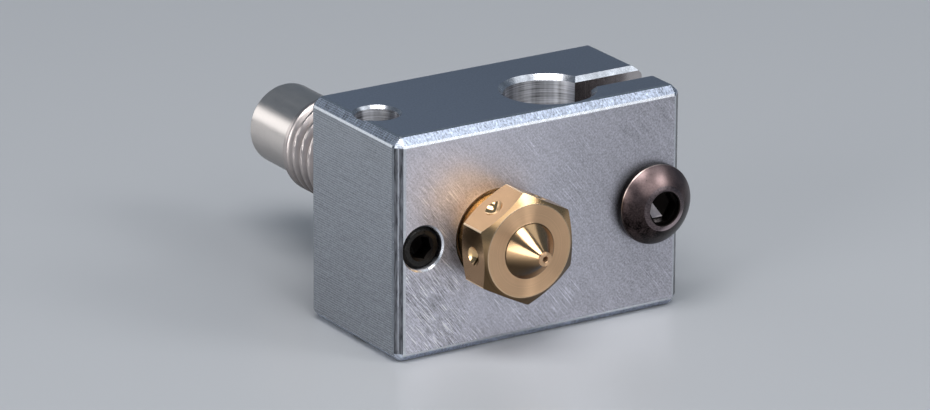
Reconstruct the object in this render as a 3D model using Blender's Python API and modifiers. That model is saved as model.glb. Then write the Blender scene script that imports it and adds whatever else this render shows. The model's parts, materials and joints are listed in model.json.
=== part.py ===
"""Hotend assembly: a slotted heater block with its nozzle, heat break and two screws.

Metres, +Z up. The aluminium block stands on one of its long faces, with its length along X,
its depth along Y and its height along Z. The nozzle screws in from the front and points along
-Y, the heat break screws in from the back and points along +Y, and the two seal against each
other inside the block. The origin is the bottom centre of the whole assembly's box.
"""

import math

import bmesh
import bpy
from mathutils import Matrix, Vector

MM = 0.001

# Heater block, and where its holes are: X from its left face, Y from its front face, Z from its base.
BLOCK_LENGTH = 23.0 * MM
BLOCK_DEPTH = 11.5 * MM
BLOCK_HEIGHT = 16.0 * MM
BLOCK_CHAMFER = 0.6 * MM
AXIS_HEIGHT = BLOCK_HEIGHT / 2

NOZZLE_X = 7.9 * MM
HEATER_X = 14.6 * MM
HEATER_Y = 4.1 * MM
HEATER_BORE_RADIUS = 3.05 * MM
SENSOR_X = 1.95 * MM
SENSOR_Y = BLOCK_DEPTH / 2
SENSOR_BORE_RADIUS = 1.5 * MM
SET_SCREW_X = 2.05 * MM
CLAMP_X = 20.45 * MM
SLOT_WIDTH = 2.0 * MM
HEATER_CHAMFER = 0.35 * MM
SENSOR_CHAMFER = 0.2 * MM
SLOT_CHAMFER = 0.33 * MM
SCREW_HOLE_CHAMFER = 0.12 * MM
NOZZLE_HOLE_CHAMFER = 0.2 * MM

# Threads: outer radius, pitch and the gap that a tapped hole's wall keeps from the thread.
M3_RADIUS, M3_PITCH = 1.5 * MM, 0.5 * MM
M6_RADIUS, M6_PITCH = 3.0 * MM, 1.0 * MM
M7_RADIUS, M7_PITCH = 3.5 * MM, 1.0 * MM
THREAD_DEPTH_PER_PITCH = 0.61
THREAD_CLEARANCE = 0.05 * MM
CLAMP_CLEARANCE_RADIUS = 1.65 * MM
RINGS_PER_PITCH = 4
FACE_GAP = 0.05 * MM

# Nozzle.
NOZZLE_STANDOFF = 1.1 * MM
NOZZLE_THREAD = 7.5 * MM
NOZZLE_NECK = 1.4 * MM
NOZZLE_NECK_RADIUS = 2.9 * MM
HEX_FLATS = 7.0 * MM
HEX_THICKNESS = 3.0 * MM
HEX_TURN = math.radians(3.0)
HEX_FRONT_RADIUS = 3.3 * MM
HEX_BACK_RADIUS = 3.35 * MM
HEX_CHAMFER_SLOPE = math.tan(math.radians(30.0))
CONE_RADIUS = 1.95 * MM
CONE_LENGTH = 2.0 * MM
TIP_RADIUS = 0.5 * MM
ORIFICE_RADIUS = 0.2 * MM
ORIFICE_LENGTH = 0.6 * MM
MELT_RADIUS = 1.0 * MM
MELT_TAPER = 0.8 * MM
DIMPLE_RADIUS = 0.65 * MM

# Heat break, measured from its hot end.
HOT_THREAD = 5.0 * MM
THROAT_LENGTH = 2.1 * MM
THROAT_RADIUS = 1.6 * MM
COLD_THREAD = 8.95 * MM
BARREL_LENGTH = 5.4 * MM
BARREL_RADIUS = 2.95 * MM
FILAMENT_RADIUS = 1.0 * MM
LINER_RADIUS = 2.05 * MM
LINER_DEPTH = 11.5 * MM

# Screws.
HEAD_RADIUS = 2.85 * MM
HEAD_HEIGHT = 1.71 * MM
HEAD_RIM = 0.6 * MM
HEAD_FLAT_RADIUS = 1.35 * MM
CLAMP_SOCKET_FLATS = 2.0 * MM
CLAMP_SOCKET_DEPTH = 1.15 * MM
CLAMP_SOCKET_MOUTH = 0.35 * MM
CLAMP_SOCKET_TURN = math.radians(30.0)
CLAMP_LENGTH = 10.0 * MM
SOCKET_MOUTH_GAP = 0.05 * MM
SOCKET_CHAMFER = 0.06 * MM
SET_SCREW_LENGTH = 4.0 * MM
SET_SCREW_RECESS = 0.2 * MM
SET_SOCKET_FLATS = 1.5 * MM
SET_SOCKET_DEPTH = 1.2 * MM
SET_SOCKET_TURN = math.radians(15.0)
SET_POINT_RADIUS = 0.9 * MM

# Round shapes.
LARGE_SEGMENTS = 32
SMALL_SEGMENTS = 16
BORE_SEGMENTS = 48
SMALL_BORE_SEGMENTS = 24
MERGE_DISTANCE = 0.001 * MM
OVERRUN = 1.0 * MM

# Places in the frame. The assembly's box runs from the block's left face to the clamp screw's
# rim, and from the nozzle's tip to the heat break's cold end.
NOZZLE_REACH = NOZZLE_STANDOFF + HEX_THICKNESS + CONE_LENGTH
HEAT_BREAK_LENGTH = HOT_THREAD + THROAT_LENGTH + COLD_THREAD + BARREL_LENGTH
HOT_END_Y = NOZZLE_THREAD - NOZZLE_STANDOFF + FACE_GAP
BLOCK_LEFT = -(CLAMP_X + HEAD_RADIUS) / 2
BLOCK_FRONT = -(HOT_END_Y + HEAT_BREAK_LENGTH - NOZZLE_REACH) / 2

POINTS_FORWARD = (math.radians(90.0), 0.0, 0.0)
POINTS_BACK = (math.radians(-90.0), 0.0, 0.0)


def place(x, y, z):
    """The point x from the block's left face, y behind its front face and z above its base."""
    return Vector((BLOCK_LEFT + x, BLOCK_FRONT + y, z))


# Scene, materials and links.


def empty_scene():
    for old in list(bpy.data.objects):
        bpy.data.objects.remove(old, do_unlink=True)


def new_collection(name):
    group = bpy.data.collections.new(name)
    bpy.context.scene.collection.children.link(group)
    return group


def metal(name, colour, roughness):
    material = bpy.data.materials.new(name)
    material.use_nodes = True
    shader = material.node_tree.nodes["Principled BSDF"]
    shader.inputs["Base Color"].default_value = (*colour, 1.0)
    shader.inputs["Metallic"].default_value = 1.0
    shader.inputs["Roughness"].default_value = roughness
    return material


def as_cutter(tool):
    CUTTERS.objects.link(tool)
    tool.hide_render = True
    tool.display_type = "WIRE"
    return tool


def as_part(part, material):
    PARTS.objects.link(part)
    part.data.materials.append(material)
    part.data.shade_smooth()
    part.data.set_sharp_from_angle(angle=math.radians(30.0))
    return part


def combine(part, tool, operation="DIFFERENCE"):
    boolean = part.modifiers.new(tool.name, "BOOLEAN")
    boolean.operation = operation
    boolean.solver = "EXACT"
    boolean.object = tool


# Shapes.


def turned(name, profile, segments, hollow=False):
    """A profile of (radius, height) points spun about Z, listed down its outer side.

    A solid's profile starts and ends on the axis; a hollow one comes back up its bore.
    """
    count = len(profile)
    edges = [(i, (i + 1) % count) for i in range(count if hollow else count - 1)]
    mesh = bpy.data.meshes.new(name)
    mesh.from_pydata([(radius, 0.0, height) for radius, height in profile], edges, [])
    blank = bpy.data.objects.new(name, mesh)
    screw = blank.modifiers.new("turn", "SCREW")
    screw.steps = segments
    screw.render_steps = segments
    screw.use_merge_vertices = True
    screw.merge_threshold = MERGE_DISTANCE
    screw.use_smooth_shade = False
    return blank


def frozen(blank):
    """The same object with its modifiers made part of its mesh."""
    scene_objects = bpy.context.scene.collection.objects
    scene_objects.link(blank)
    depsgraph = bpy.context.evaluated_depsgraph_get()
    blank.data = bpy.data.meshes.new_from_object(blank.evaluated_get(depsgraph))
    blank.modifiers.clear()
    scene_objects.unlink(blank)
    return blank


def thread_rings(radius, low, high, pitch):
    """The outer side of a stretch to be threaded, top to bottom, with rings close enough to cut it."""
    count = round((high - low) / pitch * RINGS_PER_PITCH)
    return [(radius, high - (high - low) * i / count) for i in range(count + 1)]


def cut_thread(blank, radius, low, high, pitch):
    """Presses a right-hand helical groove into the ringed stretch of a turned blank."""
    depth = THREAD_DEPTH_PER_PITCH * pitch
    for vertex in blank.data.vertices:
        x, y, z = vertex.co
        if abs(math.hypot(x, y) - radius) > MERGE_DISTANCE or not low < z < high:
            continue
        phase = (z / pitch - math.atan2(y, x) / math.tau) % 1.0
        flank = min(1.0, abs(2.0 * phase - 1.0) * 1.25)
        run_out = min(1.0, (z - low) / pitch, (high - z) / pitch)
        scale = 1.0 - depth / radius * (1.0 - flank) * run_out
        vertex.co.x = x * scale
        vertex.co.y = y * scale


def prism(name, flats, low, high, turn):
    """A hexagonal prism along Z, flats apart, with a corner turned from +Y by turn."""
    shape = bmesh.new()
    radius = flats / 2 / math.cos(math.pi / 6)
    bmesh.ops.create_cone(
        shape, cap_ends=True, segments=6, radius1=radius, radius2=radius, depth=high - low,
        matrix=Matrix.Translation((0.0, 0.0, (low + high) / 2)) @ Matrix.Rotation(turn, 4, "Z"),
    )
    return from_bmesh(name, shape)


def box(name, low, high):
    shape = bmesh.new()
    size = high - low
    bmesh.ops.create_cube(
        shape, size=1.0, matrix=Matrix.Translation((low + high) / 2) @ Matrix.Diagonal((*size, 1.0)),
    )
    return from_bmesh(name, shape)


def from_bmesh(name, shape):
    mesh = bpy.data.meshes.new(name)
    shape.to_mesh(mesh)
    shape.free()
    return bpy.data.objects.new(name, mesh)


def drill(name, radius, length, chamfer, segments, blind=False):
    """A drill along Z for a hole from height 0 to length, which also chamfers its mouths."""
    flare = radius + chamfer + OVERRUN
    near = [(radius, chamfer), (flare, -OVERRUN), (0.0, -OVERRUN)]
    if blind:
        far = [(0.0, length), (radius, length)]
    else:
        far = [(0.0, length + OVERRUN), (flare, length + OVERRUN), (radius, length - chamfer)]
    return as_cutter(turned(name, far + near, segments))


def hex_socket(name, flats, top, depth, turn, mouth=0.0):
    """A hexagon key's socket below height top. Its mouth is a countersink that clears its corners,
    or a round bore of the given depth with a small chamfer."""
    tool = as_cutter(prism(name, flats, top - depth, top + OVERRUN, turn))
    corner = flats / 2 / math.cos(math.pi / 6)
    if mouth:
        bore = corner + SOCKET_MOUTH_GAP
        rim = bore + SOCKET_CHAMFER + OVERRUN
        profile = [(0.0, top + OVERRUN), (rim, top + OVERRUN), (bore, top - SOCKET_CHAMFER),
                   (bore, top - mouth), (0.0, top - mouth)]
    else:
        profile = [(0.0, top + OVERRUN), (corner + OVERRUN, top + OVERRUN), (0.0, top - corner)]
    return tool, as_cutter(turned(name + "_countersink", profile, SMALL_SEGMENTS))


# The five pieces.


def heater_block(material):
    low, high = place(0.0, 0.0, 0.0), place(BLOCK_LENGTH, BLOCK_DEPTH, BLOCK_HEIGHT)
    block = box("heater_block", low, high)
    bevel = block.modifiers.new("edges", "BEVEL")
    bevel.width = BLOCK_CHAMFER
    bevel.segments = 1

    across = drill(
        "nozzle_hole", M6_RADIUS + THREAD_CLEARANCE, BLOCK_DEPTH, NOZZLE_HOLE_CHAMFER, BORE_SEGMENTS,
    )
    across.location = place(NOZZLE_X, 0.0, AXIS_HEIGHT)
    across.rotation_euler = POINTS_BACK

    heater = drill("heater_bore", HEATER_BORE_RADIUS, BLOCK_HEIGHT, HEATER_CHAMFER, BORE_SEGMENTS)
    heater.location = place(HEATER_X, HEATER_Y, 0.0)

    sensor = drill("sensor_bore", SENSOR_BORE_RADIUS, BLOCK_HEIGHT, SENSOR_CHAMFER, SMALL_BORE_SEGMENTS)
    sensor.location = place(SENSOR_X, SENSOR_Y, 0.0)

    slot = as_cutter(box(
        "slot",
        place(HEATER_X, HEATER_Y - SLOT_WIDTH / 2, -OVERRUN),
        place(BLOCK_LENGTH + OVERRUN, HEATER_Y + SLOT_WIDTH / 2, BLOCK_HEIGHT + OVERRUN),
    ))

    set_hole = drill(
        "set_screw_hole", M3_RADIUS + THREAD_CLEARANCE, SENSOR_Y, SCREW_HOLE_CHAMFER,
        SMALL_BORE_SEGMENTS, blind=True,
    )
    set_hole.location = place(SET_SCREW_X, 0.0, AXIS_HEIGHT)
    set_hole.rotation_euler = POINTS_BACK

    clamp_thread = drill(
        "clamp_screw_thread", M3_RADIUS + THREAD_CLEARANCE, BLOCK_DEPTH, SCREW_HOLE_CHAMFER,
        SMALL_BORE_SEGMENTS,
    )
    clamp_clearance = drill(
        "clamp_screw_clearance", CLAMP_CLEARANCE_RADIUS, HEATER_Y, SCREW_HOLE_CHAMFER,
        SMALL_BORE_SEGMENTS, blind=True,
    )
    for tool in (clamp_thread, clamp_clearance):
        tool.location = place(CLAMP_X, 0.0, AXIS_HEIGHT)
        tool.rotation_euler = POINTS_BACK

    holes = (across, heater, sensor, set_hole, clamp_thread, clamp_clearance)
    for tool in (*holes, slot, *slot_chamfers()):
        combine(block, tool)
    return as_part(block, material)


def slot_chamfers():
    """Wedges that chamfer the slot's long edges at the top and the base of the block."""
    reach = SLOT_WIDTH / 2 + SLOT_CHAMFER
    wedges = []
    for name, height in (("slot_chamfer_top", BLOCK_HEIGHT), ("slot_chamfer_base", 0.0)):
        shape = bmesh.new()
        bmesh.ops.create_cone(
            shape, cap_ends=True, segments=4, radius1=reach, radius2=reach,
            depth=BLOCK_LENGTH + OVERRUN - HEATER_X,
            matrix=Matrix.Rotation(math.radians(90.0), 4, "Y"),
        )
        wedge = as_cutter(from_bmesh(name, shape))
        wedge.location = place((HEATER_X + BLOCK_LENGTH + OVERRUN) / 2, HEATER_Y, height)
        wedges.append(wedge)
    return wedges


def nozzle(material):
    """Local Z is the nozzle's axis towards its tip, from the back of its hexagon."""
    corner = HEX_FLATS / 2 / math.cos(math.pi / 6) + FACE_GAP
    front, tip = HEX_THICKNESS, HEX_THICKNESS + CONE_LENGTH
    inner_end = -NOZZLE_THREAD
    thread_top, thread_low = -NOZZLE_NECK, inner_end + M6_PITCH / 4
    melt_end = tip - ORIFICE_LENGTH - MELT_TAPER
    profile = [
        (ORIFICE_RADIUS, tip), (TIP_RADIUS, tip), (CONE_RADIUS, front), (HEX_FRONT_RADIUS, front),
        (corner, front - (corner - HEX_FRONT_RADIUS) * HEX_CHAMFER_SLOPE),
        (corner, (corner - HEX_BACK_RADIUS) * HEX_CHAMFER_SLOPE), (HEX_BACK_RADIUS, 0.0),
        (NOZZLE_NECK_RADIUS, 0.0), (NOZZLE_NECK_RADIUS, thread_top),
        *thread_rings(M6_RADIUS, thread_low, thread_top - M6_PITCH / 4, M6_PITCH),
        (M6_RADIUS - M6_PITCH / 2, inner_end), (MELT_RADIUS, inner_end),
        (MELT_RADIUS, melt_end), (ORIFICE_RADIUS, melt_end + MELT_TAPER),
    ]
    blank = frozen(turned("nozzle", profile, LARGE_SEGMENTS, hollow=True))
    cut_thread(blank, M6_RADIUS, thread_low, thread_top - M6_PITCH / 4, M6_PITCH)

    hexagon = as_cutter(prism("nozzle_hexagon", HEX_FLATS, inner_end - OVERRUN, tip + OVERRUN, HEX_TURN))
    marks = [flat_dimple(side) for side in range(6)]
    for tool in (hexagon, *marks):
        tool.location = place(NOZZLE_X, -NOZZLE_STANDOFF, AXIS_HEIGHT)
        tool.rotation_euler = POINTS_FORWARD
    combine(blank, hexagon, "INTERSECT")
    for tool in marks:
        combine(blank, tool)
    blank.location = place(NOZZLE_X, -NOZZLE_STANDOFF, AXIS_HEIGHT)
    blank.rotation_euler = POINTS_FORWARD
    return as_part(blank, material)


def flat_dimple(side):
    """A cone whose point sinks into the middle of one of the hexagon's flats."""
    shape = bmesh.new()
    turn = HEX_TURN + math.radians(60.0 * side)
    depth = 2 * DIMPLE_RADIUS
    cone = Matrix.Rotation(turn, 4, "Z") @ Matrix.Translation((HEX_FLATS / 2, 0.0, HEX_THICKNESS / 2))
    bmesh.ops.create_cone(
        shape, cap_ends=True, segments=SMALL_SEGMENTS, radius1=0.0, radius2=2 * DIMPLE_RADIUS,
        depth=depth, matrix=cone @ Matrix.Rotation(math.radians(90.0), 4, "Y"),
    )
    bmesh.ops.remove_doubles(shape, verts=shape.verts, dist=MERGE_DISTANCE)
    return as_cutter(from_bmesh(f"nozzle_dimple_{side}", shape))


def heat_break(material):
    """Local Z is the heat break's axis towards its cold end, from its hot end."""
    throat_low = HOT_THREAD
    throat_high = HOT_THREAD + THROAT_LENGTH
    barrel_low = throat_high + COLD_THREAD
    end = HEAT_BREAK_LENGTH
    edge = M6_PITCH / 4
    hot = (edge, throat_low - edge)
    cold = (throat_high + edge, barrel_low - edge)
    liner_floor = end - LINER_DEPTH
    profile = [
        (LINER_RADIUS + edge, end), (BARREL_RADIUS - edge, end), (BARREL_RADIUS, end - edge),
        (BARREL_RADIUS, barrel_low), *thread_rings(M7_RADIUS, *cold, M7_PITCH),
        (M7_RADIUS - M7_PITCH / 2, throat_high), (THROAT_RADIUS, throat_high), (THROAT_RADIUS, throat_low),
        (M6_RADIUS - M6_PITCH / 2, throat_low), *thread_rings(M6_RADIUS, *hot, M6_PITCH),
        (M6_RADIUS - M6_PITCH / 2, 0.0), (FILAMENT_RADIUS, 0.0), (FILAMENT_RADIUS, liner_floor),
        (LINER_RADIUS, liner_floor + edge), (LINER_RADIUS, end - edge),
    ]
    blank = frozen(turned("heat_break", profile, LARGE_SEGMENTS, hollow=True))
    cut_thread(blank, M7_RADIUS, *cold, M7_PITCH)
    cut_thread(blank, M6_RADIUS, *hot, M6_PITCH)
    blank.location = place(NOZZLE_X, HOT_END_Y, AXIS_HEIGHT)
    blank.rotation_euler = POINTS_BACK
    return as_part(blank, material)


def button_dome():
    """The button head's crown, from its flat down to its rim, on one arc."""
    rise = HEAD_HEIGHT - HEAD_RIM
    centre = (HEAD_FLAT_RADIUS ** 2 + rise ** 2 - HEAD_RADIUS ** 2) / (2 * rise)
    radius = math.hypot(HEAD_RADIUS, centre)
    start = math.atan2(rise - centre, HEAD_FLAT_RADIUS)
    stop = math.atan2(-centre, HEAD_RADIUS)
    steps = 4
    angles = [start + (stop - start) * i / steps for i in range(steps + 1)]
    return [(radius * math.cos(a), HEAD_RIM + centre + radius * math.sin(a)) for a in angles]


def clamp_screw(material):
    """Local Z is the screw's axis towards its head, from the face that the head bears on."""
    seat = FACE_GAP
    edge = M3_PITCH / 2
    thread = (edge - CLAMP_LENGTH, -M3_PITCH)
    crown = [(radius, height + seat) for radius, height in button_dome()]
    profile = [
        (0.0, HEAD_HEIGHT + seat), *crown, (HEAD_RADIUS - edge / 2, seat), (M3_RADIUS - edge, seat),
        (M3_RADIUS - edge, edge - M3_PITCH), *thread_rings(M3_RADIUS, *thread, M3_PITCH),
        (M3_RADIUS - edge, -CLAMP_LENGTH), (0.0, -CLAMP_LENGTH),
    ]
    blank = frozen(turned("clamp_screw", profile, SMALL_SEGMENTS))
    cut_thread(blank, M3_RADIUS, *thread, M3_PITCH)
    tools = hex_socket(
        "clamp_socket", CLAMP_SOCKET_FLATS, HEAD_HEIGHT + seat, CLAMP_SOCKET_DEPTH, CLAMP_SOCKET_TURN,
        CLAMP_SOCKET_MOUTH,
    )
    return screw_in(blank, tools, place(CLAMP_X, 0.0, AXIS_HEIGHT), material)


def set_screw(material):
    """Local Z is the screw's axis towards its socket, from its socket end."""
    edge = M3_PITCH / 2
    point = SET_SCREW_LENGTH - (M3_RADIUS - SET_POINT_RADIUS)
    thread = (-point, -edge)
    profile = [
        (0.0, 0.0), (M3_RADIUS - edge, 0.0), *thread_rings(M3_RADIUS, *thread, M3_PITCH),
        (SET_POINT_RADIUS, -SET_SCREW_LENGTH), (0.0, -SET_SCREW_LENGTH),
    ]
    blank = frozen(turned("set_screw", profile, SMALL_SEGMENTS))
    cut_thread(blank, M3_RADIUS, *thread, M3_PITCH)
    tools = hex_socket("set_socket", SET_SOCKET_FLATS, 0.0, SET_SOCKET_DEPTH, SET_SOCKET_TURN)
    return screw_in(blank, tools, place(SET_SCREW_X, SET_SCREW_RECESS, AXIS_HEIGHT), material)


def screw_in(blank, tools, spot, material):
    """Sinks the socket's tools into a screw, and puts it in the block's front face."""
    for item in (blank, *tools):
        item.location = spot
        item.rotation_euler = POINTS_FORWARD
    for tool in tools:
        combine(blank, tool)
    return as_part(blank, material)


empty_scene()
PARTS = new_collection("hotend_assembly")
CUTTERS = new_collection("cutters")

heater_block(metal("milled_aluminium", (0.56, 0.58, 0.61), 0.38))
nozzle(metal("turned_brass", (0.72, 0.52, 0.29), 0.28))
heat_break(metal("turned_steel", (0.55, 0.53, 0.50), 0.32))
clamp_screw(metal("bronzed_steel", (0.13, 0.10, 0.09), 0.38))
set_screw(metal("blackened_steel", (0.04, 0.04, 0.045), 0.42))
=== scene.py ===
"""Looks for the hotend assembly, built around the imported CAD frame.

Metres, in the CAD's frame. Each of the five CAD nodes is replaced by a finely built piece of the
same size: true helical threads, softened edges, conical dimples, drilled and broached sockets.
Turned pieces are built about their own Z axis, then laid along the frame's Y axis.
"""

import json
import math

import bmesh
import bpy
import numpy as np
from mathutils import Matrix, Vector

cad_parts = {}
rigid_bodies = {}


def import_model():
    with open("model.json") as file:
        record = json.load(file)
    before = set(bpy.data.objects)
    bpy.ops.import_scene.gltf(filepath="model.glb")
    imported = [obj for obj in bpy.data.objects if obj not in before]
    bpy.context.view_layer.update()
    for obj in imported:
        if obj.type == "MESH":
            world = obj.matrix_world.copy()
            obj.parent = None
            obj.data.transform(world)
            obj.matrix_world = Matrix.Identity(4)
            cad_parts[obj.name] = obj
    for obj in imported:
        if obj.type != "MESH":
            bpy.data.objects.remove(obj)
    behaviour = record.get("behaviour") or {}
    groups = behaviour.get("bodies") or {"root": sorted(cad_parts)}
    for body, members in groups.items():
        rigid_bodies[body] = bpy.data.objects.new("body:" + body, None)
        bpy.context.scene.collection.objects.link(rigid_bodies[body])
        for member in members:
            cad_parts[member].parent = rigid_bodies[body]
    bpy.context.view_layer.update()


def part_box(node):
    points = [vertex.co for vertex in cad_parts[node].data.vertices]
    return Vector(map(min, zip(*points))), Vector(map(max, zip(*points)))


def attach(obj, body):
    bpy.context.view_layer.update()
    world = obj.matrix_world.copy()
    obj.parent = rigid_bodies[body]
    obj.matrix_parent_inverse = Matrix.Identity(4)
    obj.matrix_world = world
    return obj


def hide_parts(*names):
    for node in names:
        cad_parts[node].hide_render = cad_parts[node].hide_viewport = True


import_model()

MM = 0.001
BLOCK_LOW, BLOCK_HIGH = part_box("heater_block")

# Places in the block: X from its left face, Y from its front face, Z from its base, in millimetres.
AXIS_Z = 8.0
NOZZLE_X = 7.9
HEATER_X, HEATER_Y, HEATER_RADIUS, HEATER_CHAMFER = 14.6, 4.1, 3.05, 0.35
SENSOR_X, SENSOR_Y, SENSOR_RADIUS, SENSOR_CHAMFER = 1.95, 5.75, 1.5, 0.2
SET_X = 2.05
CLAMP_X = 20.45
BLOCK_SIZE = (23.0, 11.5, 16.0)
BLOCK_CHAMFER = 0.6
BLOCK_FACET = 0.10
SLOT_WIDTH = 2.0
SLOT_CHAMFER = 0.33

# The threads, in millimetres.
M3_RADIUS, M3_PITCH = 1.5, 0.5
M6_RADIUS, M7_RADIUS, COARSE_PITCH = 3.0, 3.5, 1.0

# Cutters reach past what they cut by this much.
OVERRUN = 1.0
MERGE_DISTANCE = 0.0002
SMOOTH_ANGLE = math.radians(32.0)
BLOCK_SMOOTH_ANGLE = math.radians(18.0)


def place(x, y, z):
    """A point given in millimetres from the block's left, front and base, in the frame's metres."""
    return BLOCK_LOW + Vector((x, y, z)) * MM


def pointing_forward(x, y):
    """Lays local Z along -Y, towards the viewer, from the point at that x and y on the block's axis."""
    return Matrix.Translation(place(x, y, AXIS_Z)) @ Matrix.Rotation(math.radians(90.0), 4, "X")


def pointing_back(x, y):
    """Lays local Z along +Y from the same point."""
    return Matrix.Translation(place(x, y, AXIS_Z)) @ Matrix.Rotation(math.radians(-90.0), 4, "X")


# Camera.

CAMERA_PLACE = Vector((-0.22610, -0.35655, 0.15281))
CAMERA_AZIMUTH = math.radians(32.454)
CAMERA_FALL = math.radians(19.157)
CAMERA_ROLL = math.radians(0.289)
CAMERA_LENS = 249.73


def make_camera():
    data = bpy.data.cameras.new("camera")
    data.lens = CAMERA_LENS
    data.sensor_width = 36.0
    data.clip_start, data.clip_end = 0.01, 20.0
    camera = bpy.data.objects.new("camera", data)
    bpy.context.scene.collection.objects.link(camera)
    turn = Matrix.Rotation(-CAMERA_AZIMUTH, 4, "Z")
    tilt = Matrix.Rotation(math.radians(90.0) - CAMERA_FALL, 4, "X")
    roll = Matrix.Rotation(CAMERA_ROLL, 4, "Z")
    camera.matrix_world = Matrix.Translation(CAMERA_PLACE) @ turn @ tilt @ roll
    bpy.context.scene.camera = camera


# Material nodes.

OBJECT_COORDS = 3  # Which output of a texture coordinate node follows the piece.


def node(tree, kind, inputs, output=0, **settings):
    """Adds a node, sets or links its inputs, and gives one of its outputs."""
    made = tree.nodes.new("ShaderNode" + kind)
    for name, value in settings.items():
        setattr(made, name, value)
    for name, value in inputs.items():
        if isinstance(value, bpy.types.NodeSocket):
            tree.links.new(value, made.inputs[name])
        else:
            made.inputs[name].default_value = value
    return made.outputs[output]


def arithmetic(tree, operation, a, b, c=0.5):
    return node(tree, "Math", {0: a, 1: b, 2: c}, operation=operation)


def ramp(tree, value, start, stop, at_start, at_stop, **settings):
    """Runs from at_start to at_stop as the value goes from start to stop, and stays there beyond."""
    return node(tree, "MapRange", {0: value, 1: start, 2: stop, 3: at_start, 4: at_stop}, **settings)


def streaks(tree, coords, size, turn=(0.0, 0.0, 0.0), detail=2.0, roughness=0.55):
    """Noise whose grains have that size in metres, along axes turned from the piece's own."""
    cells = node(tree, "Mapping", {"Vector": coords, "Rotation": turn, "Scale": size},
                 vector_type="TEXTURE")
    return node(tree, "TexNoise", {
        "Vector": cells, "Scale": 1.0, "Detail": detail, "Roughness": roughness,
    })


def fade(tree, coords, axis, start, stop):
    """Runs smoothly from 1 at start to 0 at stop, in metres along one axis of the piece."""
    along = node(tree, "SeparateXYZ", {0: coords}, output=axis)
    return ramp(tree, along, start, stop, 1.0, 0.0, interpolation_type="SMOOTHSTEP")


def worn(tree, coords):
    """How worn a place is: most at the block's lower left, and patchy everywhere."""
    leftward = fade(tree, coords, 0, -10.0 * MM, 4.0 * MM)
    downward = fade(tree, coords, 2, 3.0 * MM, 15.0 * MM)
    patch = streaks(tree, coords, (3.5 * MM,) * 3, detail=1.0)
    uneven = ramp(tree, patch, 0.36, 0.64, 0.3, 1.3)
    corner = arithmetic(tree, "MULTIPLY", leftward, downward)
    raised = arithmetic(tree, "MULTIPLY_ADD", corner, 0.85, 0.2)
    return arithmetic(tree, "MULTIPLY", raised, uneven)


def patchy(tree, coords, size, turn):
    """Streaks as strong as the place is worn."""
    middled = arithmetic(tree, "SUBTRACT", streaks(tree, coords, size, turn), 0.5)
    return arithmetic(tree, "MULTIPLY_ADD", middled, worn(tree, coords), 0.5)


def scratches(tree, coords, size, turn):
    """Separate bright scratches on slightly darker ground, as strong as the place is worn."""
    grain = streaks(tree, coords, size, turn, detail=1.0)
    strongest = ramp(tree, grain, 0.58, 0.70, -0.12, 0.5)
    return arithmetic(tree, "MULTIPLY_ADD", strongest, worn(tree, coords), 0.5)


def rings(tree, coords, pitch, detail=3.0):
    """Lathe marks: noise that changes only with the distance from Z, and along Z."""
    across = node(tree, "VectorMath", {0: coords, 1: (1.0, 1.0, 0.0)}, operation="MULTIPLY")
    radius = node(tree, "VectorMath", {0: across}, output=1, operation="LENGTH")
    height = node(tree, "SeparateXYZ", {0: coords}, output=2)
    along = arithmetic(tree, "MULTIPLY", height, 0.83)
    where = arithmetic(tree, "DIVIDE", arithmetic(tree, "ADD", radius, along), pitch)
    return node(tree, "TexNoise", {"W": where, "Scale": 1.0, "Detail": detail}, noise_dimensions="1D")


def lines(tree, coords, pitch, axis, wander=0.25):
    """Even tool marks across one axis of the piece, with a little wander."""
    along = node(tree, "SeparateXYZ", {0: coords}, output=axis)
    drift = node(tree, "TexNoise", {"Vector": coords, "Scale": 900.0, "Detail": 2.0})
    phase = arithmetic(tree, "ADD", arithmetic(tree, "DIVIDE", along, pitch),
                       arithmetic(tree, "MULTIPLY", drift, wander))
    wave = arithmetic(tree, "SINE", arithmetic(tree, "MULTIPLY", phase, math.tau), 0.0)
    return arithmetic(tree, "MULTIPLY_ADD", wave, 0.5)


def stripe(tree, coords, direction, middle, reach):
    """One stripe: 1 where the distance along a direction is middle, and 0 from reach on either side."""
    along = node(tree, "VectorMath", {0: coords, 1: direction}, output=1, operation="DOT_PRODUCT")
    away = arithmetic(tree, "ABSOLUTE", arithmetic(tree, "SUBTRACT", along, middle), 0.0)
    return ramp(tree, away, 0.0, reach, 1.0, 0.0, interpolation_type="SMOOTHSTEP")


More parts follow.
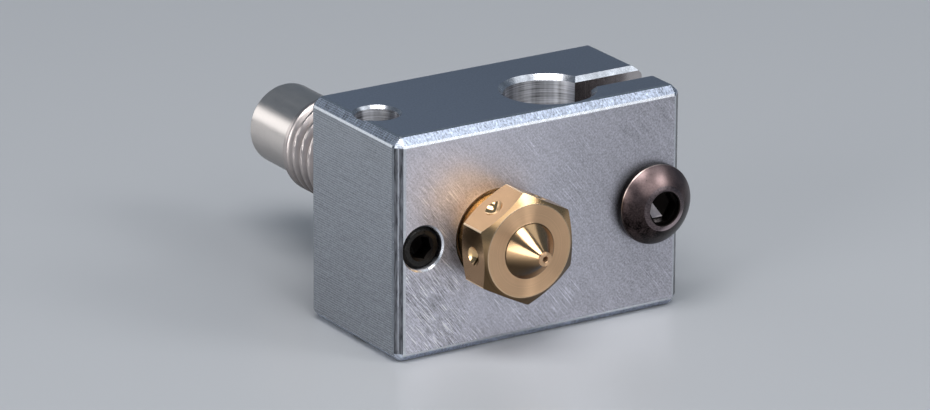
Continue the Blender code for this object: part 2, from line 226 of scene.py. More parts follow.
def metal(name, colour, roughness, patterns, anisotropy=0.0):
    """A metal with patterns, each of them (maker, its settings, depth, shade, shine).

    A pattern runs from 0 to 1. Depth is how high it stands in metres, shade is how much it changes
    the colour, and shine how much it changes the roughness.
    """
    material = bpy.data.materials.new(name)
    material.use_nodes = True
    tree = material.node_tree
    shader = tree.nodes["Principled BSDF"]
    shader.inputs["Metallic"].default_value = 1.0
    coords = node(tree, "TexCoord", {}, output=OBJECT_COORDS)
    relief, tint, gloss = 0.0, 1.0, roughness
    for maker, settings, depth, shade, shine in patterns:
        pattern = maker(tree, coords, **settings)
        middled = arithmetic(tree, "SUBTRACT", pattern, 0.5)
        if depth:
            relief = arithmetic(tree, "ADD", arithmetic(tree, "MULTIPLY", pattern, depth), relief)
        if shade:
            tint = arithmetic(tree, "ADD", arithmetic(tree, "MULTIPLY", middled, shade), tint)
        if shine:
            gloss = arithmetic(tree, "ADD", arithmetic(tree, "MULTIPLY", middled, shine), gloss)
    painted = node(tree, "VectorMath", {0: colour, "Scale": tint}, operation="SCALE")
    tree.links.new(painted, shader.inputs["Base Color"])
    if isinstance(gloss, bpy.types.NodeSocket):
        tree.links.new(node(tree, "Clamp", {0: gloss, 1: 0.05, 2: 0.95}), shader.inputs["Roughness"])
    else:
        shader.inputs["Roughness"].default_value = gloss
    if isinstance(relief, bpy.types.NodeSocket):
        bump = node(tree, "Bump", {"Height": relief, "Distance": 1.0, "Strength": 1.0})
        tree.links.new(bump, shader.inputs["Normal"])
    if anisotropy:
        shader.inputs["Anisotropic"].default_value = anisotropy
        shader.inputs["Anisotropic Rotation"].default_value = 0.25
        tangent = node(tree, "Tangent", {}, direction_type="RADIAL", axis="Z")
        tree.links.new(tangent, shader.inputs["Tangent"])
    return material


def um(depth):
    """Micrometres in metres."""
    return depth * 1e-6


# Metals. The first eight are the block's faces, by the way they face.

SCRATCH_TURN = (0.0, math.radians(51.3), 0.0)

FRONT = metal("brushed_front", (0.61, 0.60, 0.662), 0.46, [
    (patchy, {"size": (1.0 * MM, 1.0, 0.08 * MM), "turn": SCRATCH_TURN}, um(3.0), 2.3, 0.15),
    (scratches, {"size": (1.8 * MM, 1.0, 0.08 * MM), "turn": SCRATCH_TURN}, um(1.0), 1.7, 0.0),
    (streaks, {"size": (0.13 * MM,) * 3}, um(0.5), 1.0, 0.0),
    (streaks, {"size": (4.0 * MM, 1.0, 0.6 * MM), "turn": SCRATCH_TURN}, 0.0, 0.25, 0.06),
    # Painted light: this fade makes the front face lighter towards its left and darker towards its
    # right.
    (fade, {"axis": 0, "start": -8.0 * MM, "stop": 8.0 * MM}, 0.0, 0.38, 0.0),
])
# Painted shade: the left face's base colour is kept darker than the front face's for the lesser light
# on that side, and its last fade paints it lighter towards the top.
SIDE = metal("milled_side", (0.342, 0.362, 0.392), 0.42, [
    (lines, {"pitch": 0.17 * MM, "axis": 2, "wander": 0.5}, um(1.2), 0.40, 0.0),
    (streaks, {"size": (1.0, 3.0 * MM, 0.10 * MM)}, um(2.0), 0.60, 0.08),
    (streaks, {"size": (0.13 * MM,) * 3}, 0.0, 0.9, 0.0),
    (fade, {"axis": 2, "start": 16.0 * MM, "stop": 0.0}, 0.0, 0.20, 0.0),
])
TOP = metal("satin_top", (0.54, 0.57, 0.66), 0.30, [
    # Painted light: this fade makes the top lighter towards its left.
    (fade, {"axis": 0, "start": -11.0 * MM, "stop": 6.0 * MM}, 0.0, 0.14, 0.0),
    (streaks, {"size": (2.5 * MM, 0.14 * MM, 1.0)}, um(0.6), 0.10, 0.04),
    (streaks, {"size": (0.13 * MM,) * 3}, 0.0, 0.45, 0.05),
])
FRONT_EDGE = metal("bright_chamfer", (0.52, 0.565, 0.68), 0.34, [
    (streaks, {"size": (0.11 * MM, 0.25 * MM, 0.25 * MM)}, um(4.0), 1.9, 0.15),
    (streaks, {"size": (0.13 * MM,) * 3}, um(1.0), 1.2, 0.0),
    (streaks, {"size": (1.5 * MM, 1.0, 1.0)}, 0.0, 0.8, 0.0),
    # Painted light: this fade makes the chamfer lighter towards its left end.
    (fade, {"axis": 0, "start": -10.0 * MM, "stop": 2.0 * MM}, 0.0, 0.16, 0.0),
])
SIDE_EDGE = metal("hatched_chamfer", (0.58, 0.62, 0.71), 0.36, [
    (streaks, {"size": (0.8 * MM, 0.17 * MM, 0.8 * MM)}, um(3.0), 2.0, 0.1),
    (lines, {"pitch": 0.11 * MM, "axis": 2, "wander": 0.9}, um(1.0), 0.45, 0.0),
    (streaks, {"size": (0.10 * MM,) * 3}, 0.0, 1.2, 0.0),
])
FACET = metal("bright_facet", (0.68, 0.70, 0.74), 0.24, [
    (streaks, {"size": (0.3 * MM,) * 3}, um(1.0), 0.5, 0.1),
])
# Painted shade: the facets that lean to the sides get a far darker base colour than bright_facet, for
# the lesser light there.
SIDE_FACET = metal("dim_facet", (0.31, 0.33, 0.36), 0.26, [
    (streaks, {"size": (0.3 * MM,) * 3}, um(1.0), 0.6, 0.1),
])
# Painted shade: the upright chamfers' base colour is darkened to stand in for the dark reflection they
# show; the stripe lightens one line along each and darkens the rest.
UPRIGHT_EDGE = metal("striped_chamfer", (0.26, 0.27, 0.30), 0.28, [
    (stripe, {"direction": (0.7071, -0.7071, 0.0), "middle": -0.55 * MM, "reach": 0.09 * MM},
     0.0, 1.1, 0.0),
    (streaks, {"size": (0.12 * MM, 1.0, 1.2 * MM), "turn": (0.0, 0.0, math.radians(-45.0))},
     um(2.0), 1.6, 0.1),
])
BORE = metal("bored", (0.52, 0.52, 0.55), 0.48, [
    (streaks, {"size": (3.0 * MM, 3.0 * MM, 0.08 * MM), "detail": 3.0}, um(5.0), 2.2, 0.1),
    (streaks, {"size": (0.9 * MM, 0.9 * MM, 1.0)}, 0.0, 2.6, 0.0),
], anisotropy=0.8)
SLOT = metal("sawn_slot", (0.46, 0.43, 0.43), 0.26, [
    (streaks, {"size": (0.3 * MM, 1.0, 3.0 * MM)}, um(1.0), 0.4, 0.1),
])
MOUTH = metal("bright_mouth", (0.60, 0.61, 0.65), 0.25, [
    (streaks, {"size": (0.2 * MM,) * 3}, um(2.0), 0.6, 0.1),
    (streaks, {"size": (1.2 * MM, 1.2 * MM, 1.0)}, 0.0, 1.6, 0.0),
])
BRASS = metal("turned_brass", (0.73, 0.47, 0.28), 0.36, [
    (rings, {"pitch": 0.07 * MM}, um(1.6), 0.24, 0.05),
    (streaks, {"size": (1.5 * MM,) * 3}, 0.0, 0.10, 0.05),
], anisotropy=0.93)
# Painted shade: the cone's base colour is darkened, and its fade paints it darker still towards its
# underside, standing in for the dark reflection below it.
CONE_BRASS = metal("bright_cone", (0.285, 0.183, 0.10), 0.17, [
    (rings, {"pitch": 0.09 * MM}, um(1.0), 0.20, 0.05),
    (fade, {"axis": 1, "start": 0.4 * MM, "stop": -0.8 * MM}, 0.0, 1.5, 0.0),
], anisotropy=0.4)
# Painted shade: the hexagon's chamfers get a darkened base colour, and the fade paints them darker
# towards the bottom and lighter towards the top.
EDGE_BRASS = metal("brass_chamfer", (0.36, 0.23, 0.118), 0.22, [
    (rings, {"pitch": 0.08 * MM}, um(1.0), 0.20, 0.05),
    (fade, {"axis": 1, "start": 2.0 * MM, "stop": -1.0 * MM}, 0.0, 1.35, 0.0),
], anisotropy=0.5)
LINE_BRASS = metal("brass_line", (0.72, 0.51, 0.32), 0.25, [
    (streaks, {"size": (0.3 * MM,) * 3}, 0.0, 0.4, 0.0),
])
NECK_BRASS = metal("gold_neck", (0.62, 0.42, 0.22), 0.26, [
    (streaks, {"size": (1.0 * MM,) * 3}, 0.0, 0.3, 0.1),
    # Painted light and shade: this fade makes the neck lighter towards its top and darker towards its
    # bottom.
    (fade, {"axis": 1, "start": 2.6 * MM, "stop": -0.6 * MM}, 0.0, 1.3, 0.0),
])
# Painted highlight: the hexagon's cut-back corners get a very light, rough finish so that they read as
# bright edge lines.
CORNER_BRASS = metal("corner_brass_painted_highlight", (1.0, 0.80, 0.56), 0.62, [
    (streaks, {"size": (0.3 * MM,) * 3}, 0.0, 0.3, 0.0),
])
GROOVE_BRASS = metal("brass_groove", (0.10, 0.062, 0.032), 0.35, [
    (streaks, {"size": (0.3 * MM,) * 3}, 0.0, 0.4, 0.0),
])
HEX_BRASS = metal("milled_brass", (0.57, 0.36, 0.185), 0.25, [
    (streaks, {"size": (0.12 * MM, 0.12 * MM, 1.2 * MM)}, um(1.2), 0.18, 0.06),
    # Painted light: this fade makes the hexagon's upper flats lighter and its lower flats darker.
    (fade, {"axis": 1, "start": 2.6 * MM, "stop": -2.0 * MM}, 0.0, 0.30, 0.0),
])
DIMPLE_BRASS = metal("countersunk_brass", (0.86, 0.57, 0.29), 0.14, [
    (streaks, {"size": (0.12 * MM,) * 3}, 0.0, 0.3, 0.0),
])
STEEL = metal("turned_steel", (0.47, 0.435, 0.41), 0.32, [
    (rings, {"pitch": 0.10 * MM}, um(1.5), 0.12, 0.05),
    (streaks, {"size": (0.5 * MM, 0.5 * MM, 1.5 * MM)}, 0.0, 0.25, 0.08),
    # Painted shade: this fade makes the heat break darker towards its underside.
    (fade, {"axis": 1, "start": -0.2 * MM, "stop": 2.4 * MM}, 0.0, 0.9, 0.0),
], anisotropy=0.4)
THREAD_STEEL = metal("thread_steel", (0.38, 0.34, 0.325), 0.34, [
    (streaks, {"size": (0.3 * MM,) * 3}, 0.0, 0.3, 0.1),
    # Painted shade: this fade makes the thread darker towards its underside.
    (fade, {"axis": 1, "start": -0.5 * MM, "stop": 3.0 * MM}, 0.0, 0.9, 0.0),
])
BRONZED = metal("bronzed_steel", (0.10, 0.072, 0.071), 0.32, [
    # Painted light and shade: this fade makes the screw lighter towards its top and darker towards its
    # bottom.
    (fade, {"axis": 1, "start": 2.3 * MM, "stop": -1.0 * MM}, 0.0, 1.5, 0.0),
    (streaks, {"size": (0.7 * MM,) * 3, "detail": 5.0, "roughness": 0.7}, um(3.0), 1.3, 0.20),
    (streaks, {"size": (0.12 * MM,) * 3}, um(1.5), 1.0, 0.10),
])
RING_BRONZE = metal("worn_ring_painted_highlight", (0.29, 0.23, 0.24), 0.32, [
    # Painted highlight: this stripe lightens an arc of the ring towards its lower right, where its
    # inner edge faces the light, and darkens the rest.
    (stripe, {"direction": (0.55, -0.84, 0.0), "middle": 1.45 * MM, "reach": 0.5 * MM},
     0.0, 1.15, 0.0),
    (streaks, {"size": (0.12 * MM,) * 3, "detail": 3.0}, um(2.0), 0.8, 0.10),
])
LINE_BRONZE = metal("worn_line_painted_shade", (0.27, 0.21, 0.19), 0.30, [
    # Painted shade: this fade makes the crown's edge line lighter towards the top and darker towards
    # the bottom.
    (fade, {"axis": 1, "start": 2.0 * MM, "stop": -1.2 * MM}, 0.0, 1.5, 0.0),
    (streaks, {"size": (0.3 * MM,) * 3}, 0.0, 0.8, 0.0),
])
# Painted glint: a light finish put on the socket floor's lower facets only, while its other facets get
# painted shade.
FLOOR_GLINT = metal("socket_floor_painted_glint", (0.62, 0.56, 0.57), 0.30, [
    (streaks, {"size": (0.2 * MM,) * 3}, um(2.0), 0.5, 0.1),
])
# Painted shade: near-black for the inside of the screws' sockets, darker than the screws' own finish.
SOCKET_SHADE = metal("socket_painted_shade", (0.012, 0.010, 0.009), 0.45, [
    (streaks, {"size": (0.2 * MM,) * 3}, um(1.0), 0.5, 0.1),
])
# Painted shade: near-black for the clamp screw head's rim and underside, far darker than its bronzed
# finish.
DARK_RIM = metal("rim_painted_shade", (0.012, 0.010, 0.009), 0.36, [
    (streaks, {"size": (0.3 * MM,) * 3, "detail": 3.0}, um(2.0), 0.6, 0.2),
])
BLACKENED = metal("blackened_steel", (0.035, 0.034, 0.033), 0.30, [
    (streaks, {"size": (0.15 * MM,) * 3, "detail": 3.0}, um(4.0), 1.4, 0.2),
])


# Shapes.


def from_bmesh(name, shape):
    mesh = bpy.data.meshes.new(name)
    shape.to_mesh(mesh)
    shape.free()
    return bpy.data.objects.new(name, mesh)


def softened(profile, reach, steps=4):
    """The profile with each corner turned into a short curve that starts reach before it."""
    made = [profile[0]]
    for before, corner, after in zip(profile, profile[1:], profile[2:]):
        a, b, c = (np.array(p[:2]) for p in (before, corner, after))
        to_a, to_c = a - b, c - b
        la, lc = np.linalg.norm(to_a), np.linalg.norm(to_c)
        bend = math.acos(max(-1.0, min(1.0, float(-to_a @ to_c / (la * lc)))))
        if bend < math.radians(12.0) or min(la, lc) < reach * 0.3:
            made.append(corner)
            continue
        cut = min(reach, 0.42 * la, 0.42 * lc)
        start, stop = b + to_a / la * cut, b + to_c / lc * cut
        for i in range(steps + 1):
            t = i / steps
            p = (1 - t) ** 2 * start + 2 * t * (1 - t) * b + t ** 2 * stop
            made.append((float(p[0]), float(p[1]), *corner[2:]) if i else
                        (float(p[0]), float(p[1]), *before[2:]))
    made.append(profile[-1])
    return made


def turned(name, profile, segments, material, closed=False, finishes=()):
    """A profile of (radius, height) points in millimetres spun about Z, down its outer side.

    A third value on a point picks one of the finishes for the stretch that starts there.
    """
    mesh = bpy.data.meshes.new(name)
    count = len(profile)
    angles = np.arange(segments) * (math.tau / segments)
    points, starts, lone = [], [], []
    for radius, height in (p[:2] for p in profile):
        starts.append(len(points))
        lone.append(radius < 1e-9)
        if lone[-1]:
            points.append((0.0, 0.0, height))
        else:
            points.extend((radius * math.cos(a), radius * math.sin(a), height) for a in angles)
    faces, choices = [], []
    for i in range(count if closed else count - 1):
        before = len(faces)
        j = (i + 1) % count
        for k in range(segments):
            n = (k + 1) % segments
            if lone[i] and lone[j]:
                break
            if lone[i]:
                faces.append((starts[i], starts[j] + k, starts[j] + n))
            elif lone[j]:
                faces.append((starts[i] + k, starts[j], starts[i] + n))
            else:
                faces.append((starts[i] + k, starts[j] + k, starts[j] + n, starts[i] + n))
        choices += [profile[i][2] if len(profile[i]) > 2 else 0] * (len(faces) - before)
    mesh.from_pydata([tuple(c * MM for c in p) for p in points], [], faces)
    for finish in (material, *finishes):
        mesh.materials.append(finish)
    mesh.polygons.foreach_set("material_index", choices)
    mesh.update()
    return bpy.data.objects.new(name, mesh)


def thread_rings(radius, high, low, pitch, per_pitch):
    """Rings down a stretch to be threaded, close enough together to carry its flanks."""
    count = max(2, round((high - low) / pitch * per_pitch))
    return [(radius, high - (high - low) * i / count) for i in range(count + 1)]


# A thread's depth in pitches, how steep its flanks are, how flat its root is, and how round they are.
THREAD_DEPTH, FLANK_SLOPE, ROOT_FLAT, FLANK_ROUNDING = 0.61, 1.3, 0.05, 0.35
RING_TOLERANCE = 0.004


def cut_thread(blank, radius, low, high, pitch):
    """Presses a right-hand helical groove, in millimetres, into the ringed stretch of a blank."""
    mesh = blank.data
    co = np.empty(len(mesh.vertices) * 3)
    mesh.vertices.foreach_get("co", co)
    co = co.reshape(-1, 3) / MM
    x, y, z = co.T
    inside = (np.abs(np.hypot(x, y) - radius) < RING_TOLERANCE) & (z > low) & (z < high)
    phase = (z / pitch - np.arctan2(y, x) / math.tau) % 1.0
    crest = np.clip(np.abs(2.0 * phase - 1.0) * FLANK_SLOPE - ROOT_FLAT, 0.0, 1.0)
    rounded = crest * crest * (3.0 - 2.0 * crest)
    crest = rounded * FLANK_ROUNDING + crest * (1.0 - FLANK_ROUNDING)
    run_out = np.clip(np.minimum((z - low) / pitch, (high - z) / pitch), 0.0, 1.0)
    scale = np.where(inside, 1.0 - THREAD_DEPTH * pitch / radius * (1.0 - crest) * run_out, 1.0)
    co[:, 0] *= scale
    co[:, 1] *= scale
    mesh.vertices.foreach_set("co", (co * MM).ravel())
    mesh.update()


def box(name, low, high):
    """A box between two corners, in metres."""
    shape = bmesh.new()
    middle, size = (low + high) / 2, high - low
    bmesh.ops.create_cube(shape, matrix=Matrix.Translation(middle) @ Matrix.Diagonal((*size, 1.0)))
    return from_bmesh(name, shape)


def corner_radius(flats):
    """How far a hexagon's corners are from its middle."""
    return flats / 2 / math.cos(math.pi / 6)


def prism(name, flats, low, high, turn, material, corner_cut=0.0, corner=None):
    """A hexagonal prism along Z in millimetres, with a corner turned from +Y by turn.

    Its upright edges can be cut back, and have the corner's finish.
    """
    shape = bmesh.new()
    radius = corner_radius(flats) * MM
    bmesh.ops.create_cone(
        shape, cap_ends=True, segments=6, radius1=radius, radius2=radius, depth=(high - low) * MM,
        matrix=Matrix.Translation((0.0, 0.0, (low + high) / 2 * MM)) @ Matrix.Rotation(turn, 4, "Z"),
    )
    if corner_cut:
        upright = [e for e in shape.edges if abs(e.verts[0].co.z - e.verts[1].co.z) > 0.5 * MM]
        bmesh.ops.bevel(shape, geom=upright, offset=corner_cut * MM, segments=2, profile=0.5,
                        affect="EDGES", material=1)
    made = from_bmesh(name, shape)
    for finish in (material, corner):
        if finish:
            made.data.materials.append(finish)
    return made


def evaluated(blank):
    """The object with its modifiers made part of its mesh."""
    objects = bpy.context.scene.collection.objects
    if blank.name not in objects:
        objects.link(blank)
    bpy.context.view_layer.update()
    depsgraph = bpy.context.evaluated_depsgraph_get()
    mesh = bpy.data.meshes.new_from_object(blank.evaluated_get(depsgraph))
    blank.modifiers.clear()
    blank.data = mesh
    return blank


def carve(part, *tools, operation="DIFFERENCE"):
    """Cuts the tools from a part, which takes each tool's own material where it cuts."""
    objects = bpy.context.scene.collection.objects
    for tool in tools:
        if tool.name not in objects:
            objects.link(tool)
        boolean = part.modifiers.new(tool.name, "BOOLEAN")
        boolean.operation = operation
        boolean.solver = "EXACT"
        boolean.material_mode = "TRANSFER"
        boolean.object = tool
    evaluated(part)
    for tool in tools:
        bpy.data.objects.remove(tool, do_unlink=True)
    return part


def finished(part, body, node_name, smooth_angle=SMOOTH_ANGLE):
    """Smooths a part's shading up to its edges, and puts it in place of its CAD node."""
    shape = bmesh.new()
    shape.from_mesh(part.data)
    bmesh.ops.remove_doubles(shape, verts=shape.verts, dist=MERGE_DISTANCE * MM)
    bmesh.ops.dissolve_degenerate(shape, edges=shape.edges, dist=MERGE_DISTANCE * MM)
    bmesh.ops.recalc_face_normals(shape, faces=shape.faces)
    shape.to_mesh(part.data)
    shape.free()
    part.data.shade_smooth()
    part.data.set_sharp_from_angle(angle=smooth_angle)
    weighted = part.modifiers.new("normals", "WEIGHTED_NORMAL")
    weighted.keep_sharp = True
    weighted.weight = 100
    evaluated(part)
    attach(part, body)
    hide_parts(node_name)
    return part


# Heater block.


SQUARE_ON = 0.98
FACET_LEAN = 0.75
LEVEL = 0.3


def block_finish(normal):
    """The finish of a blank block's face, from the way it faces.

    A chamfer leans evenly between two sides, and the narrow facets beside it lean to one of them.
    """
    x, y, z = (abs(c) for c in normal)
    if y > SQUARE_ON:
        return FRONT
    if x > SQUARE_ON:
        return SIDE
    if z > SQUARE_ON:
        return TOP
    if max(x, y, z) > FACET_LEAN:
        return SIDE_FACET if x > FACET_LEAN else FACET
    if z < LEVEL:
        return UPRIGHT_EDGE
    return FRONT_EDGE if x < LEVEL else SIDE_EDGE


# How much wider than its thread's outside a tapped hole is drilled, on each side.
THREAD_PLAY = 0.05


def drill(name, radius, length, chamfer, segments, blind=False):
    """A drill along Z for a hole from height 0 to length, which chamfers its mouths."""
    flare = radius + chamfer + OVERRUN
    near = [(radius, chamfer, 1), (flare, -OVERRUN), (0.0, -OVERRUN)]
    if blind:
        far = [(0.0, length + radius * 0.5), (radius, length)]
    else:
        far = [(0.0, length + OVERRUN), (flare, length + OVERRUN, 1), (radius, length - chamfer)]
    return turned(name, far + near, segments, BORE, finishes=[MOUTH])


def heater_block():
    block = box("block", BLOCK_LOW, BLOCK_HIGH)
    for width in (BLOCK_CHAMFER, BLOCK_FACET):
        bevel = block.modifiers.new("edges", "BEVEL")
        bevel.width = width * MM
        bevel.segments = 1
        bevel.limit_method = "ANGLE"
        bevel.angle_limit = math.radians(25.0)
    evaluated(block)
    finishes = [FRONT, SIDE, TOP, FRONT_EDGE, SIDE_EDGE, UPRIGHT_EDGE, FACET, SIDE_FACET]
    for finish in finishes:
        block.data.materials.append(finish)
    for face in block.data.polygons:
        face.material_index = finishes.index(block_finish(face.normal))

    length, depth, height = BLOCK_SIZE
    nozzle_hole = drill("nozzle_hole", M6_RADIUS + THREAD_PLAY, depth, 0.2, 128)
    nozzle_hole.matrix_world = pointing_back(NOZZLE_X, 0.0)
    heater = drill("heater_bore", HEATER_RADIUS, height, HEATER_CHAMFER, 160)
    heater.location = place(HEATER_X, HEATER_Y, 0.0)
    sensor = drill("sensor_bore", SENSOR_RADIUS, height, SENSOR_CHAMFER, 96)
    sensor.location = place(SENSOR_X, SENSOR_Y, 0.0)
    slot = box(
        "slot", place(HEATER_X, HEATER_Y - SLOT_WIDTH / 2, -OVERRUN),
        place(length + OVERRUN, HEATER_Y + SLOT_WIDTH / 2, height + OVERRUN),
    )
    slot.data.materials.append(SLOT)
    set_hole = drill("set_hole", M3_RADIUS + THREAD_PLAY, SENSOR_Y, 0.12, 72, blind=True)
    set_hole.matrix_world = pointing_back(SET_X, 0.0)
    clamp_thread = drill("clamp_thread", M3_RADIUS + THREAD_PLAY, depth, 0.12, 72)
    clamp_clearance = drill("clamp_clearance", M3_RADIUS + 0.15, HEATER_Y, 0.12, 72, blind=True)
    for tool in (clamp_thread, clamp_clearance):
        tool.matrix_world = pointing_back(CLAMP_X, 0.0)
    holes = (nozzle_hole, heater, sensor, set_hole, clamp_thread, clamp_clearance)
    carve(block, *holes, slot, *slot_chamfers())
    return finished(block, "block", "heater_block", BLOCK_SMOOTH_ANGLE)


def slot_chamfers():
    """Wedges that chamfer the slot's long edges at the top and the base of the block."""
    reach = (SLOT_WIDTH / 2 + SLOT_CHAMFER) * MM
    length = BLOCK_SIZE[0] + OVERRUN - HEATER_X
    wedges = []
    for name, height in (("slot_chamfer_top", BLOCK_SIZE[2]), ("slot_chamfer_base", 0.0)):
        shape = bmesh.new()
        bmesh.ops.create_cone(
            shape, cap_ends=True, segments=4, radius1=reach, radius2=reach, depth=length * MM,
            matrix=Matrix.Rotation(math.radians(90.0), 4, "Y"),
        )
        wedge = from_bmesh(name, shape)
        wedge.data.materials.append(MOUTH)
        wedge.location = place(HEATER_X + length / 2, HEATER_Y, height)
        wedges.append(wedge)
    return wedges


# Nozzle. Local Z runs from the back of its hexagon to its tip.

HEX_FLATS = 7.0
HEX_THICKNESS = 3.0
HEX_TURN = math.radians(3.0)
HEX_CHAMFER_SLOPE = math.tan(math.radians(30.0))
NOZZLE_STANDOFF = 1.1


def nozzle():
    cone, edge, line, neck, groove = 1, 2, 3, 4, 5
    corner = corner_radius(HEX_FLATS) + 0.05
    top = HEX_THICKNESS
    tip = top + 2.0
    inner = -7.5
    thread_high, thread_low = -1.65, inner + 0.25
    outside = softened([
        (0.2, tip - 0.03), (0.23, tip), (0.5, tip), (0.5, tip - 0.14), (0.47, tip - 0.17, cone),
        (1.9, top + 0.07, groove), (1.97, top), (3.25, top, line), (3.31, top - 0.03, edge),
        (corner, top - 0.03 - (corner - 3.31) * HEX_CHAMFER_SLOPE),
        (corner, (corner - 3.35) * HEX_CHAMFER_SLOPE, neck),
        (3.35, 0.0, neck), (2.9, 0.0, neck), (2.9, -1.4),
    ], 0.04, steps=3)
    inside = [(2.5, inner), (1.0, inner), (1.0, tip - 1.4), (0.2, tip - 0.6)]
    rows = outside + thread_rings(M6_RADIUS, thread_high, thread_low, COARSE_PITCH, 16) + inside
    blank = turned("nozzle_piece", rows, 144, BRASS, closed=True,
                   finishes=[CONE_BRASS, EDGE_BRASS, LINE_BRASS, NECK_BRASS, GROOVE_BRASS])
    cut_thread(blank, M6_RADIUS, thread_low, thread_high, COARSE_PITCH)
    # The hexagon's corners get a painted highlight.
    hexagon = prism("hexagon", HEX_FLATS, inner - OVERRUN, tip + OVERRUN, HEX_TURN, HEX_BRASS, 0.08,
                    CORNER_BRASS)
    carve(blank, hexagon, operation="INTERSECT")
    carve(blank, *(dimple(side) for side in range(6)))
    blank.matrix_world = pointing_forward(NOZZLE_X, -NOZZLE_STANDOFF)
    return finished(blank, "nozzle", "nozzle")


def dimple(side, radius=0.65):
    """A cone whose point sinks into the middle of one of the hexagon's flats."""
    made = turned(f"dimple_{side}", [(0.0, radius), (2 * radius, radius), (0.0, -radius)], 72,
                  DIMPLE_BRASS)
    turn = Matrix.Rotation(HEX_TURN + math.radians(60.0 * side), 4, "Z")
    out = Matrix.Translation((HEX_FLATS / 2 * MM, 0.0, HEX_THICKNESS / 2 * MM))
    made.matrix_world = turn @ out @ Matrix.Rotation(math.radians(90.0), 4, "Y")
    return made


# Heat break. Local Z runs from its hot end to its cold end.


# How far from the block's front face its hot end is.
HOT_END_Y = 6.45


def heat_break():
    thread = 1
    hot, throat, cold, barrel = 5.0, 2.1, 8.95, 5.4
    throat_high = hot + throat
    barrel_low = throat_high + cold
    end = barrel_low + barrel
    cold_low, cold_high = throat_high + 0.25, barrel_low - 0.25
    hot_low, hot_high = 0.25, hot - 0.25
    rows = softened([
        (2.05, end - 0.3), (2.25, end), (2.75, end), (2.95, end - 0.2), (2.95, barrel_low),
        (3.3, barrel_low, thread), (M7_RADIUS, barrel_low - 0.2, thread),
    ], 0.05)
    rows += [(*ring, thread) for ring in
             thread_rings(M7_RADIUS, cold_high, cold_low, COARSE_PITCH, 24)]
    rows += [(3.0, throat_high), (1.6, throat_high), (1.6, hot), (2.5, hot)]
    rows += thread_rings(M6_RADIUS, hot_high, hot_low, COARSE_PITCH, 16)
    rows += [(2.5, 0.0), (1.0, 0.0), (1.0, end - 11.5), (2.05, end - 11.25)]
    blank = turned("heat_break_piece", rows, 128, STEEL, closed=True, finishes=[THREAD_STEEL])
    cut_thread(blank, M7_RADIUS, cold_low, cold_high, COARSE_PITCH)
    cut_thread(blank, M6_RADIUS, hot_low, hot_high, COARSE_PITCH)
    blank.matrix_world = pointing_back(NOZZLE_X, HOT_END_Y)
    return finished(blank, "heat_break", "heat_break")


# Screws. Local Z runs towards the socket.


def hex_socket(flats, top, depth, turn, mouth, dark, floor):
    """A hexagon key's socket, its mouth cut to a profile, with a shallow pyramid for its floor.

    The sides of the pyramid that face local -Y have the floor's own finish, a painted glint in the
    clamp screw, and the rest has the dark finish, which is painted shade.
    """
    hexagon = prism("socket", flats, top - depth, top + OVERRUN, turn, dark)
    opening = turned("mouth", [(radius, top + height) for radius, height in mouth], 72, dark)
    shape = bmesh.new()
    point = flats * 0.25
    bmesh.ops.create_cone(
        shape, cap_ends=True, segments=6, radius1=0.0, radius2=flats * 0.56 * MM, depth=point * MM,
        matrix=Matrix.Translation((0.0, 0.0, (top - depth - point / 2 + 0.01) * MM))
        @ Matrix.Rotation(turn, 4, "Z"),
    )
    bmesh.ops.remove_doubles(shape, verts=shape.verts, dist=MERGE_DISTANCE * MM)
    for face in shape.faces:
        face.normal_update()
        face.material_index = 1 if face.normal.y < -0.35 else 0
    pyramid = from_bmesh("socket_floor", shape)
    for finish in (dark, floor):
        pyramid.data.materials.append(finish)
    return hexagon, opening, pyramid


# The radius inside which a clamp screw's crown is worn and carries a painted highlight arc, and the
# steps in its curve.
WORN_RADIUS = 1.58
CROWN_STEPS = 32


def clamp_screw():
    crown_metal, dark, line, ring = 0, 1, 2, 3
    seat, radius, height, rim, flat = 0.05, 2.85, 1.71, 0.6, 1.35
    rise = height - rim
    centre = (flat ** 2 + rise ** 2 - radius ** 2) / (2 * rise)
    curve = math.hypot(radius, centre)
    start, stop = math.atan2(rise - centre, flat), math.atan2(-centre, radius)
    crown = []
    for i in range(CROWN_STEPS + 1):
        angle = start + (stop - start) * i / CROWN_STEPS
        out = curve * math.cos(angle)
        up = rim + centre + curve * math.sin(angle) + seat
        crown.append((out, up, ring if out < WORN_RADIUS else crown_metal))
    crown[-1] = (radius - 0.04, crown[-1][1] + 0.01, line)
    rows = [(0.0, height + seat, ring)]
    rows += softened([(flat - 0.2, height + seat, ring), *crown], 0.06)
    # The head's rim and underside get painted shade.
    rows += softened([
        (radius, rim + seat - 0.05, dark), (radius, 0.12 + seat, dark),
        (radius - 0.12, seat, dark), (1.3, seat, dark),
    ], 0.05)
    rows += [(1.25, -0.3), *thread_rings(M3_RADIUS, -0.5, -9.75, M3_PITCH, 12)]
    rows += [(1.25, -10.0), (0.0, -10.0)]
    blank = turned("clamp_screw_piece", rows, 96, BRONZED,
                   finishes=[DARK_RIM, LINE_BRONZE, RING_BRONZE])
    cut_thread(blank, M3_RADIUS, -9.75, -0.5, M3_PITCH)
    mouth = [(0.0, OVERRUN), (1.265 + OVERRUN, OVERRUN), (1.205, -0.06), (1.205, -0.35), (0.0, -0.35)]
    # The clamp screw's socket gets painted shade, with a painted glint on its floor's lower facets.
    carve(blank, *hex_socket(2.0, height + seat, 1.15, math.radians(30.0), mouth, SOCKET_SHADE, FLOOR_GLINT))
    blank.matrix_world = pointing_forward(CLAMP_X, 0.0)
    return finished(blank, "clamp_screw", "clamp_screw")


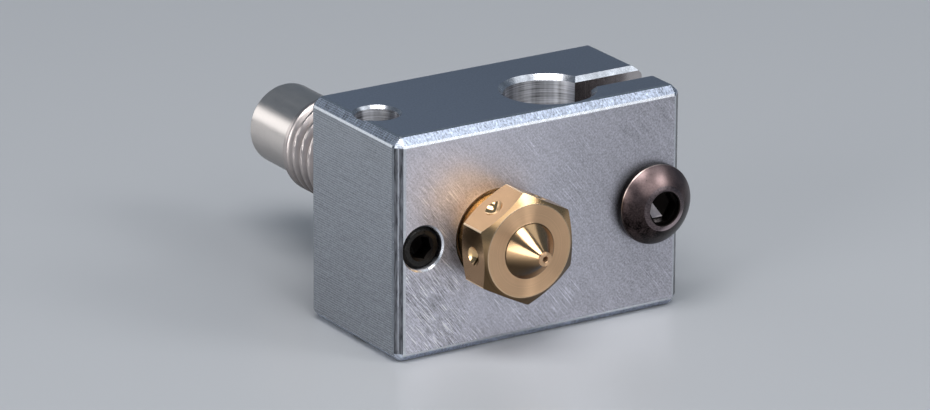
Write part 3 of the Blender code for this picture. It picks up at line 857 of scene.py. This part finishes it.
def set_screw():
    rows = [(0.0, 0.0), (1.25, 0.0), *thread_rings(M3_RADIUS, -0.25, -3.4, M3_PITCH, 12)]
    rows += [(0.9, -4.0), (0.0, -4.0)]
    blank = turned("set_screw_piece", rows, 72, BLACKENED)
    cut_thread(blank, M3_RADIUS, -3.4, -0.25, M3_PITCH)
    mouth = [(0.0, OVERRUN), (0.95 + OVERRUN, OVERRUN), (0.95, 0.0), (0.0, -0.76)]
    # The set screw's socket walls get painted shade.
    carve(blank, *hex_socket(1.5, 0.0, 1.2, math.radians(15.0), mouth, SOCKET_SHADE, BLACKENED))
    blank.matrix_world = pointing_forward(SET_X, 0.2)
    return finished(blank, "set_screw", "set_screw")


# Floor and lights.

FLOOR_REACH = 3.0


def make_floor():
    shape = bmesh.new()
    bmesh.ops.create_grid(shape, x_segments=8, y_segments=8, size=FLOOR_REACH)
    floor = from_bmesh("floor", shape)
    bpy.context.scene.collection.objects.link(floor)
    material = bpy.data.materials.new("pale_floor")
    material.use_nodes = True
    shader = material.node_tree.nodes["Principled BSDF"]
    shader.inputs["Base Color"].default_value = (0.47, 0.478, 0.495, 1.0)
    shader.inputs["Roughness"].default_value = 0.35
    floor.data.materials.append(material)


def softbox(name, direction, distance, width, height, radiance, colour=(1.0, 1.0, 1.0)):
    """A soft area light, aimed at the block, that shines with that radiance."""
    data = bpy.data.lights.new(name, "AREA")
    data.shape = "RECTANGLE"
    data.size, data.size_y = width, height
    data.energy = radiance * math.pi * width * height
    data.color = colour
    light = bpy.data.objects.new(name, data)
    bpy.context.scene.collection.objects.link(light)
    aim = Vector(direction).normalized()
    middle = (BLOCK_LOW + BLOCK_HIGH) / 2
    light.location = middle + aim * distance
    light.rotation_mode = "QUATERNION"
    light.rotation_quaternion = aim.to_track_quat("Z", "Y")
    light.visible_camera = False


def make_lights():
    world = bpy.data.worlds.new("studio")
    world.use_nodes = True
    background = world.node_tree.nodes["Background"]
    background.inputs["Color"].default_value = (0.64, 0.80, 1.0, 1.0)
    background.inputs["Strength"].default_value = 0.19
    bpy.context.scene.world = world
    softbox("key", (-0.24, -0.29, 0.92), 0.50, 0.34, 0.22, 7.0)
    softbox("fill", (0.50, -0.33, 0.80), 0.55, 0.30, 0.26, 1.0, (0.92, 0.97, 1.0))
    softbox("front", (0.10, -0.80, 0.50), 0.60, 0.62, 0.32, 1.5)
    softbox("spark", (0.49, -0.64, 0.60), 0.60, 0.20, 0.18, 5.5)
    softbox("left", (-0.91, -0.33, 0.25), 0.60, 0.24, 0.36, 4.6)
    softbox("rear", (-0.52, 0.80, 0.20), 0.60, 0.20, 0.22, 2.3)
    bpy.context.scene.view_settings.view_transform = "Standard"


make_camera()
heater_block()
nozzle()
heat_break()
clamp_screw()
set_screw()
make_floor()
make_lights()
